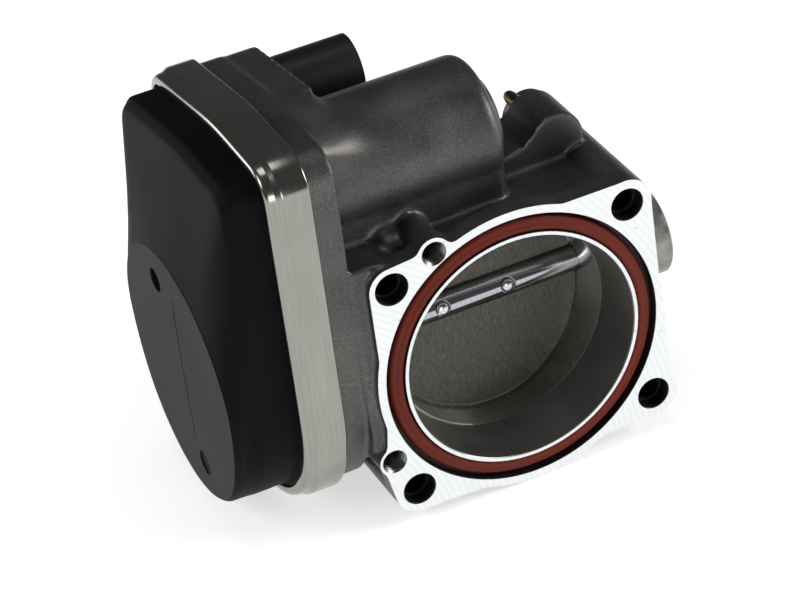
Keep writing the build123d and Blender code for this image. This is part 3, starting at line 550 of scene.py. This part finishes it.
def tapEar(cutter, x, z):
    c = casting
    sinkDepth, sinkRadius = c["countersink"]
    thread = [(c["toolStart"], 0), (c["toolStart"], sinkRadius), (0, sinkRadius),
              (sinkDepth, c["earRadius"])]
    along = c["threadStart"]
    while along < c["earDepth"] - c["threadEnd"]:
        thread += [(along, c["earRadius"]), (along + c["threadPitch"] / 2, c["threadRadius"])]
        along += c["threadPitch"]
    thread += [(along, c["earRadius"]), (c["earDepth"], c["earRadius"]),
               (c["earDepth"] + c["drillPoint"], 0)]
    turnProfile(cutter, thread, "Y", (x, 0, z), steps=32, finishIndex=tappedCut)


def machineCasting(piece):
    c = casting
    shaftLine = (0, c["shaftY"], 0)
    faceMill = bmesh.new()
    slab(faceMill, (0, -5, 0), (200, 10, 200), milledCut)
    carve(piece, faceMill, c["finishes"])

    spotFace = bmesh.new()
    for x, z in boltPlaces:
        rod(spotFace, "Y", (x, 0, z), c["spotFaceRadius"], c["boltDepth"],
            c["boltDepth"] + c["spotFaceDepth"], finishIndex=milledCut)
    turnProfile(spotFace, c["bossFace"], "X", shaftLine, closed=True, finishIndex=skimmedCut)
    carve(piece, spotFace, c["finishes"])

    boringBar = bmesh.new()
    # the bore's mouth takes the bored finish, whose darker tone is painted shade
    turnProfile(boringBar, c["bore"], "Y", (0, 0, 0), steps=128, finishIndex=boredShadeCut)
    # faces past the throat's start take the honed finish, whose bright tone is painted reflection
    for face in boringBar.faces:
        if face.calc_center_median().y > c["throatReflectionStart"] * mm:
            face.material_index = honedReflectionCut
    carve(piece, boringBar, c["finishes"])

    drills = bmesh.new()
    # the seal groove takes the drilled finish too: its near-black tone is painted shade in the
    # groove
    turnProfile(drills, c["groove"], "Y", (0, 0, 0), steps=128, closed=True,
                finishIndex=drilledShadeCut)
    for x, z in boltPlaces:
        drillBolt(drills, x, z)
    for x, z in c["ears"]:
        tapEar(drills, x, z)
    carve(piece, drills, c["finishes"])

    lineBore = bmesh.new()
    # the shaft's line bore takes the bored finish too, with its painted shade
    turnProfile(lineBore, c["shaftBore"], "X", shaftLine, steps=64, finishIndex=boredShadeCut)
    carve(piece, lineBore, c["finishes"])
    print("casting machined:", len(piece.data.polygons), "faces")


machineCasting(mouldCasting())


# the gear cover is moulded, then its flat round face takes two dimples and a fine curved line
cover = {
    "voxel": 0.7, "rounds": 6, "keep": 0.45, "face": -100.5, "allowance": 2.0,
    # ejector dimples: y, z, radius, depth
    "dimples": [(62.2, 32.4, 4.1, 1.7), (44.3, -31.2, 4.3, 0.6)], "dimpleEdge": 0.3,
    "line": {"from": (47.3, 31.9), "to": (49.9, -24.3), "bow": 1.0, "width": 0.6, "depth": 0.5},
    "toolStart": 3, "lineStart": 2, "finishes": (mouldedNylon, greyFaceNylon),
}
greyFaceIndex = 1


def pressDimples(cutter):
    edge, start = cover["dimpleEdge"], -cover["toolStart"]
    for y, z, radius, deep in cover["dimples"]:
        turnProfile(cutter, [(start, 0), (start, radius + edge), (0, radius + edge),
                             (edge, radius), (deep - edge, radius - 0.1), (deep, radius - 0.5),
                             (deep, 0)], "X", (cover["face"], y, z), steps=48)


# a small square section swept along an arc through the two ends of the line
def engraveLine(cutter):
    line = cover["line"]
    onFace = Vector((cover["face"], 0, 0))
    start, end = Vector((0, *line["from"])), Vector((0, *line["to"]))
    chord = (end - start).length
    reach = (chord ** 2 / 4 + line["bow"] ** 2) / (2 * line["bow"])
    side = Vector((1, 0, 0)).cross(end - start).normalized()
    centre = (start + end) / 2 - side * (reach - line["bow"])
    half = (start - centre).normalized() * line["width"] / 2
    corners = [start + way * half + Vector((x, 0, 0))
               for way, x in ((-1, -cover["lineStart"]), (-1, line["depth"]),
                              (1, line["depth"]), (1, -cover["lineStart"]))]
    face = cutter.faces.new([cutter.verts.new((corner + onFace) * mm) for corner in corners])
    bmesh.ops.spin(cutter, geom=[face] + face.edges[:] + face.verts[:], steps=24,
                   cent=(centre + onFace) * mm,
                   axis=(start - centre).cross(end - centre).normalized(),
                   angle=(start - centre).angle(end - centre))


def makeCover():
    bm = meshOf("gear_cover")
    thickenFace(bm, 0, cover["face"], -cover["allowance"])
    piece = addPiece("gearCover", bm, cover["finishes"], replaces=["gear_cover"],
                     merge=False)
    remould(piece, cover["voxel"], cover["rounds"], cover["keep"])
    crisp = bmesh.new()
    # the flat round face, cut square, takes the greyer nylon tones
    slab(crisp, (cover["face"] - 5, 45, 0), (10, 200, 260), greyFaceIndex)
    carve(piece, crisp, cover["finishes"])
    marks = bmesh.new()
    pressDimples(marks)
    engraveLine(marks)
    bmesh.ops.recalc_face_normals(marks, faces=marks.faces)
    carve(piece, marks, cover["finishes"])
    print("cover moulded:", len(piece.data.polygons), "faces")


makeCover()


# the clamping band is one strip of sheet, drawn round the chamber with a rolled lip
band = {
    "wall": 0.95, "outlineAt": -70, "cornerSteps": 4, "edgeBevel": 0.2,
    # across the strip: how far out from the outline, x, and the bend's radius
    "profile": [(-2.5, -63.8, 0), (0, -63.8, 0.8), (0, -73.2, 1.4), (-1.0, -75.0, 1.3),
                (-1.5, -78.5, 1.9), (-4.3, -78.5, 0.0)],
}


# the longest way round a part where a plane across the shaft cuts it
def outlineOf(name, level):
    bm = meshOf(name)
    bmesh.ops.bisect_plane(bm, geom=bm.verts[:] + bm.edges[:] + bm.faces[:],
                           plane_co=(level * mm, 0, 0), plane_no=(1, 0, 0),
                           clear_inner=True, clear_outer=True)
    bmesh.ops.dissolve_limit(bm, angle_limit=math.radians(0.2), verts=bm.verts[:],
                             edges=bm.edges[:])
    loops, left = [], set(bm.verts)
    while left:
        here = left.pop()
        loop = [here]
        while True:
            ahead = [edge.other_vert(here) for edge in here.link_edges
                     if edge.other_vert(here) in left]
            if not ahead:
                break
            here = ahead[0]
            left.discard(here)
            loop.append(here)
        loops.append([vert.co.copy() for vert in loop])
    bm.free()
    return max(loops, key=lambda loop: max(p.y for p in loop) - min(p.y for p in loop))


# each bend of the strip becomes a short curve
def roundedProfile(profile, steps):
    points = []
    for i, (outset, x, radius) in enumerate(profile):
        if radius == 0:
            points.append((outset, x))
            continue
        here = Vector((outset, x))
        before = (Vector(profile[i - 1][:2]) - here).normalized()
        after = (Vector(profile[i + 1][:2]) - here).normalized()
        reach = radius * math.tan((math.pi - before.angle(after)) / 2)
        start, end = here + before * reach, here + after * reach
        for k in range(steps + 1):
            t = k / steps
            points.append(tuple(start * (1 - t) ** 2 + here * 2 * t * (1 - t) + end * t * t))
    return points


# the way out of the outline at each of its points, lengthened at a corner
def waysOut(loop):
    centre = sum(loop, Vector()) / len(loop)
    ways = []
    for i, point in enumerate(loop):
        before = (point - loop[i - 1]).normalized()
        after = (loop[(i + 1) % len(loop)] - point).normalized()
        normal = (before + after).cross(Vector((1, 0, 0))).normalized()
        if normal.dot(point - centre) < 0:
            normal.negate()
        ways.append(normal / max(0.5, math.cos(before.angle(after) / 2)))
    return ways


def makeBand():
    loop = outlineOf("retaining_band", band["outlineAt"])
    outwards = waysOut(loop)
    rows = roundedProfile(band["profile"], band["cornerSteps"])

    def spotAt(i, row):
        outset, x = row
        return Vector((x * mm, loop[i].y, loop[i].z)) + outwards[i] * outset * mm

    bm = bmesh.new()
    ring = [bm.verts.new(spotAt(i, rows[0])) for i in range(len(loop))]
    edges = [bm.edges.new((ring[i - 1], ring[i])) for i in range(len(ring))]
    for row in rows[1:]:
        made = bmesh.ops.extrude_edge_only(bm, edges=edges)
        edges = [item for item in made["geom"] if isinstance(item, bmesh.types.BMEdge)]
        fresh = [None] * len(ring)
        for vert in [item for item in made["geom"] if isinstance(item, bmesh.types.BMVert)]:
            old = next(edge.other_vert(vert) for edge in vert.link_edges if edge not in edges)
            i = ring.index(old)
            vert.co = spotAt(i, row)
            fresh[i] = vert
        ring = fresh
    piece = addPiece("clampBand", bm, (drawnStainless,), replaces=["retaining_band"],
                     sharp=70)
    wall = piece.modifiers.new("wall", "SOLIDIFY")
    wall.thickness = band["wall"] * mm
    wall.offset = -1
    soften = piece.modifiers.new("soften", "BEVEL")
    soften.width = band["edgeBevel"] * mm
    soften.segments = 2
    soften.limit_method = "ANGLE"
    soften.angle_limit = math.radians(50)
    finishModifiers(piece, sharp=50)
    print("band drawn:", len(piece.data.polygons), "faces")


makeBand()


# the flange seal is moulded with two low ribs on its face
seal = {"profile": [(3.5, 42.75), (3.5, 47.8), (2.2, 47.75), (1.3, 47.35), (0.85, 46.7),
                    (0.75, 46.0), (0.95, 45.5), (0.6, 45.0), (0.4, 44.3), (0.42, 43.5),
                    (0.7, 42.95), (1.3, 42.75)], "steps": 160}


def makeSeal():
    bm = bmesh.new()
    turnProfile(bm, seal["profile"], "Y", (0, 0, 0), steps=seal["steps"], closed=True)
    addPiece("sealRing", bm, (redRubber,), replaces=["flange_seal"], sharp=80)


# the bearing cap is a pressed cup with a raised rim
cap = {"profile": [(60.2, 0), (60.2, 8.8), (62.2, 8.85), (62.2, 9.95), (67.6, 9.95), (68.2, 9.6),
                   (68.4, 8.9), (68.4, 8.4), (67.7, 7.6), (67.6, 4), (67.6, 0)], "steps": 72}


def makeBearingCap():
    bm = bmesh.new()
    turnProfile(bm, cap["profile"], "X", (0, casting["shaftY"], 0), steps=cap["steps"])
    addPiece("bearingCap", bm, (satinSteel,), replaces=["bearing_cap"])


# the vent nipple is a drawn tube pressed into its boss, with its end tapered
nipple = {"place": (31.5, 56.0), "steps": 40,
          "profile": [(43.5, 0), (43.5, 2.3), (49.6, 2.3), (50.2, 2.35), (58.6, 2.35), (60.4, 2.0),
                      (61.6, 1.3), (61.9, 0.9), (50.5, 0.9), (50.5, 0)]}


def makeNipple():
    x, z = nipple["place"]
    bm = bmesh.new()
    turnProfile(bm, nipple["profile"], "Y", (x, 0, z), steps=nipple["steps"])
    addPiece("ventNipple", bm, (dullBrass,), replaces=["vent_nipple"])


# plate screws have low domed heads, and their tips are staked
screws = {"tilt": 12.0, "spread": 12.2, "steps": 40,
          "profile": [(-4.7, 0), (-4.7, 1.1), (-4.3, 1.5), (4.15, 1.5), (4.15, 2.6), (4.7, 2.55),
                      (5.25, 2.2), (5.6, 1.6), (5.75, 0.9), (5.8, 0.0)]}


def makePlateScrews():
    tilt = math.radians(screws["tilt"])
    headWay = Vector((0, -math.cos(tilt), math.sin(tilt)))
    turned = headWay.to_track_quat("X", "Z").to_matrix()
    bm = bmesh.new()
    for side in (-1, 1):
        before = set(bm.verts)
        turnProfile(bm, screws["profile"], "X", (0, 0, 0), steps=screws["steps"])
        fresh = [vert for vert in bm.verts if vert not in before]
        bmesh.ops.rotate(bm, verts=fresh, cent=(0, 0, 0), matrix=turned)
        bmesh.ops.translate(bm, verts=fresh, vec=Vector((side * screws["spread"] * mm,
                                                        casting["shaftY"] * mm, 0)))
    addPiece("plateScrewsDomed", bm, (zincSteel,), body="throttle", replaces=["plate_screws"],
             sharp=50)


makeSeal()
makeBearingCap()
makeNipple()
makePlateScrews()
print("seal, cap, nipple and screws turned")

# white paper lit from below as well, so it stays pale under the part
paper = startMaterial("paperMatteWhite", "#f4f4f4", 0.0, 0.9,
                      **{"Emission Color": (1, 1, 1, 1), "Emission Strength": 0.6})[0]
floorMesh = bmesh.new()
bmesh.ops.create_grid(floorMesh, x_segments=1, y_segments=1, size=3.0,
                      matrix=Matrix.Translation((0, 0, cadBox[0][2])))
floor = addPiece("paperFloor", floorMesh, (paper,), body=None)

# soft boxes, all turned to the middle of the part; places and sizes are in metres
studio = {
    "overhead": {"place": (0.0, 0.15, 1.3), "size": 0.5, "power": 2.0, "tint": (1.0, 1.0, 1.0)},
    "leftBox": {"place": (-1.15, -0.1, 0.8), "size": 0.6, "power": 6.0, "tint": (0.97, 0.98, 1.0)},
    "rightBox": {"place": (1.15, -0.55, 0.55), "size": 0.6, "power": 12.0,
                 "tint": (1.0, 0.98, 0.96)},
    "lowFront": {"place": (-0.15, -1.25, 0.05), "size": 0.45, "power": 3.5,
                 "tint": (1.0, 1.0, 1.0)},
    "backLeft": {"place": (-0.9, 1.0, 0.2), "size": 0.6, "power": 4.0, "tint": (1.0, 1.0, 1.0)},
}
for name, box in studio.items():
    light = bpy.data.lights.new(name, "AREA")
    light.shape = "SQUARE"
    light.size = box["size"]
    light.energy = box["power"]
    light.color = box["tint"]
    lamp = bpy.data.objects.new(name, light)
    lamp.location = box["place"]
    lamp.rotation_euler = (-Vector(box["place"])).to_track_quat("-Z", "Y").to_euler()
    bpy.context.scene.collection.objects.link(lamp)

room = {"colour": (0.30, 0.30, 0.31, 1), "strength": 0.3}
world = bpy.data.worlds.new("studio")
world.use_nodes = True
sky = world.node_tree.nodes["Background"]
sky.inputs["Color"].default_value = room["colour"]
sky.inputs["Strength"].default_value = room["strength"]
bpy.context.scene.world = world

view = {"focalLength": 151.5, "sensor": 36, "nearest": 0.05, "farthest": 20,
        "place": (-0.35438, -0.84, 0.617), "turn": (56.7247, 7.0480, -25.1139)}
lens = bpy.data.cameras.new("camera")
lens.lens = view["focalLength"]
lens.sensor_width = view["sensor"]
lens.clip_start = view["nearest"]
lens.clip_end = view["farthest"]
camera = bpy.data.objects.new("camera", lens)
camera.location = view["place"]
camera.rotation_euler = [math.radians(angle) for angle in view["turn"]]
bpy.context.scene.collection.objects.link(camera)
bpy.context.scene.camera = camera
bpy.context.scene.view_settings.view_transform = "Standard"
print("lights and camera set")
